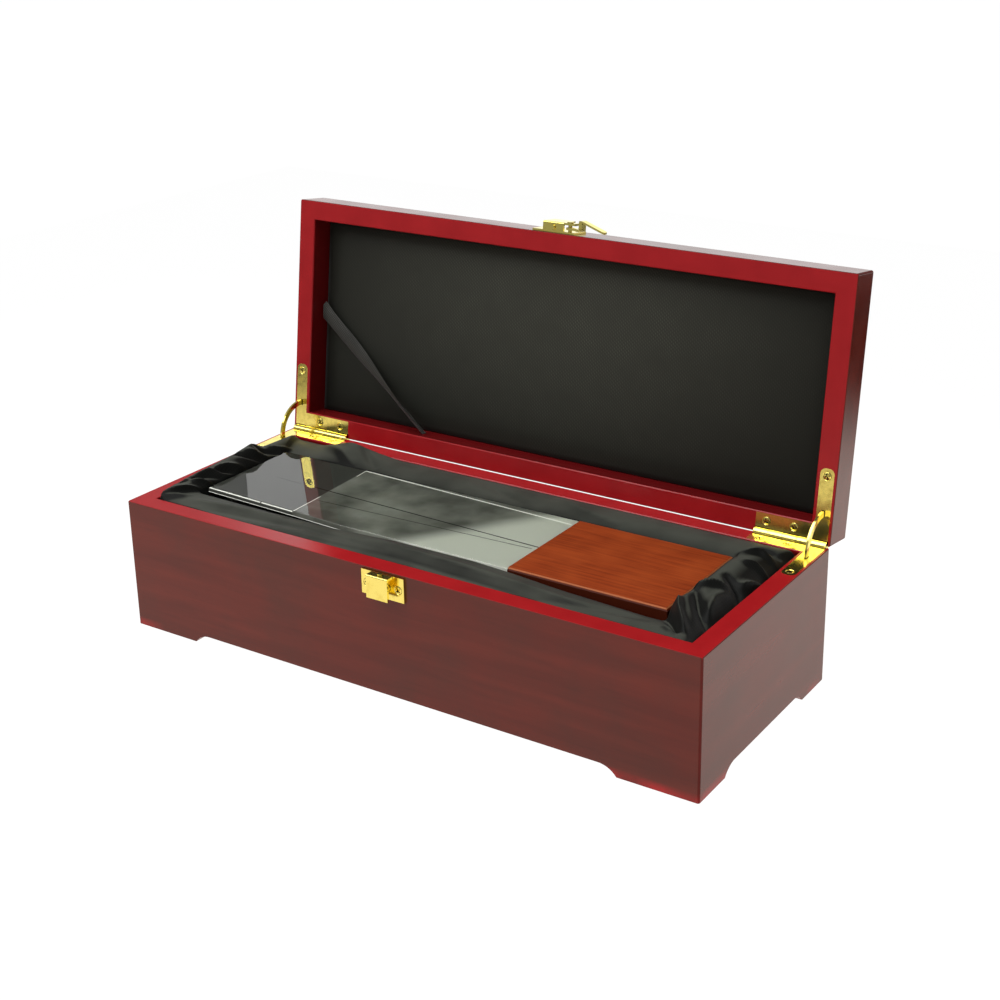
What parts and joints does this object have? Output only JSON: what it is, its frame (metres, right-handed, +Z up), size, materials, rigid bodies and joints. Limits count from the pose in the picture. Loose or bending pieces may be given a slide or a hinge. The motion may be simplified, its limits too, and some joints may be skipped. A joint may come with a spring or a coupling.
{
  "type": "presentation box",
  "caption": "Hinged wooden presentation box, lid open on quadrant hinges, with a satin nest holding a clear award on a wooden block, and a swing-lever clasp.",
  "frame": {"origin": "on the surface the feet stand on, under the middle of the open case's box", "axes": "+X to the right along the case, +Y from the clasp to the hinges, +Z up"},
  "size_m": [0.35, 0.1826, 0.2187],
  "materials": {
    "rosewood_lacquer": "gloss rosewood lacquer, red rims",
    "black_foam": "open foam",
    "black_satin": "satin weave",
    "black_pad_cloth": "padded plain weave",
    "black_ribbon": "satin ribbon",
    "grey_card": "plain card",
    "clear_acrylic": "polished clear acrylic",
    "mahogany": "satin mahogany lacquer",
    "gold_plated_brass": "polished gold plate"
  },
  "bodies": {
    "base": {"award_block": "mahogany", "award_slab": "clear_acrylic", "base_back": "rosewood_lacquer", "base_floor": "rosewood_lacquer", "base_front": "rosewood_lacquer", "base_left": "rosewood_lacquer", "base_right": "rosewood_lacquer", "clasp_keeper": "gold_plated_brass", "clasp_keeper_screws": "gold_plated_brass", "hinge_base_screws": "gold_plated_brass", "hinge_left_base_leaf": "gold_plated_brass", "hinge_left_pin": "gold_plated_brass", "hinge_right_base_leaf": "gold_plated_brass", "hinge_right_pin": "gold_plated_brass", "nest_foam": "black_foam", "satin_back": "black_satin", "satin_bed": "black_satin", "satin_front": "black_satin", "satin_left": "black_satin", "satin_right": "black_satin"},
    "lid": {"clasp_bracket": "gold_plated_brass", "clasp_bracket_screws": "gold_plated_brass", "clasp_rivet": "gold_plated_brass", "hinge_left_lid_leaf": "gold_plated_brass", "hinge_lid_screws": "gold_plated_brass", "hinge_right_lid_leaf": "gold_plated_brass", "lid_back": "rosewood_lacquer", "lid_front": "rosewood_lacquer", "lid_left": "rosewood_lacquer", "lid_pad": "black_pad_cloth", "lid_pad_card": "grey_card", "lid_panel": "rosewood_lacquer", "lid_ribbon": "black_ribbon", "lid_right": "rosewood_lacquer"},
    "stay_left": {"hinge_left_stay": "gold_plated_brass"},
    "stay_right": {"hinge_right_stay": "gold_plated_brass"},
    "lever": {"clasp_lever": "gold_plated_brass"}
  },
  "joints": [
    {"name": "lid_hinge", "type": "hinge", "parent": "base", "child": "lid", "pos_m": [0, 0.05306, 0.0737], "axis": [1, 0, 0], "range_deg": [0, 97.6]},
    {"name": "stay_left_turn", "type": "hinge", "parent": "base", "child": "stay_left", "pos_m": [0, 0.05306, 0.0737], "axis": [1, 0, 0], "range_deg": [0, 48.8]},
    {"name": "stay_right_turn", "type": "hinge", "parent": "base", "child": "stay_right", "pos_m": [0, 0.05306, 0.0737], "axis": [1, 0, 0], "range_deg": [0, 48.8]},
    {"name": "clasp_lever_swing", "type": "hinge", "parent": "lid", "child": "lever", "pos_m": [0.0096, 0.07454, 0.21046], "axis": [0, -0.1323, -0.9912], "range_deg": [0, 90]}
  ],
  "couplings": [
    {"joint": "stay_left_turn", "follows": "lid_hinge", "ratio": 0.5},
    {"joint": "stay_right_turn", "follows": "lid_hinge", "ratio": 0.5}
  ]
}
